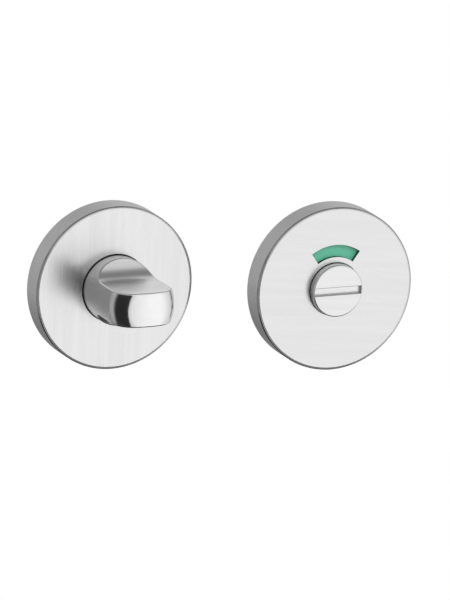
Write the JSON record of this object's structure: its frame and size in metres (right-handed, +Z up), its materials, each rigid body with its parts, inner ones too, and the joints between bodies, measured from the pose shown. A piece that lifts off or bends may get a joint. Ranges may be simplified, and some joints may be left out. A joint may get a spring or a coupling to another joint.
{
  "type": "bathroom thumb turn lock",
  "caption": "Bathroom door lock set on round roses: scooped thumb turn with square spindle, and a coin release with a green and red indicator window.",
  "frame": {"origin": "on the turn's axis, at the door face of its rose", "axes": "+Y into the door along the spindle, +Z up, +X to the right seen from the front; both fronts face -Y"},
  "size_m": [0.1176, 0.073, 0.052],
  "materials": {
    "satin_steel": "fine straight grain",
    "cast_metal": "as cast",
    "nylon": "plain",
    "spring_steel": "dark phosphate",
    "plated_steel": "zinc plated",
    "white_plastic": "plain",
    "green_foil": "plain",
    "red_foil": "plain"
  },
  "bodies": {
    "roses": {"turn_cover": "satin_steel", "turn_mounting_plate": "cast_metal", "turn_bush": "nylon", "turn_flat_washer": "plated_steel", "turn_wood_screws": "plated_steel", "release_cover": "satin_steel", "release_mounting_plate": "cast_metal", "release_bush": "nylon", "release_flat_washer": "plated_steel", "release_wood_screws": "plated_steel"},
    "turn": {"thumb_knob": "satin_steel", "spindle": "plated_steel", "spindle_pin": "spring_steel", "turn_curved_washer": "spring_steel", "turn_circlip": "spring_steel"},
    "release": {"coin_turn": "satin_steel", "indicator_disc": "white_plastic", "green_sector": "green_foil", "red_sector": "red_foil", "release_curved_washer": "spring_steel", "release_circlip": "spring_steel"}
  },
  "joints": [
    {"name": "thumb_turn", "type": "hinge", "parent": "roses", "child": "turn", "pos_m": [0, 0, 0], "axis": [0, -1, 0], "range_deg": [0, 90]},
    {"name": "release_turn", "type": "hinge", "parent": "roses", "child": "release", "pos_m": [0.0656, -0.0195, 0], "axis": [0, -1, 0], "range_deg": [-90, 0]}
  ],
  "couplings": [
    {"joint": "release_turn", "follows": "thumb_turn", "ratio": -1}
  ]
}
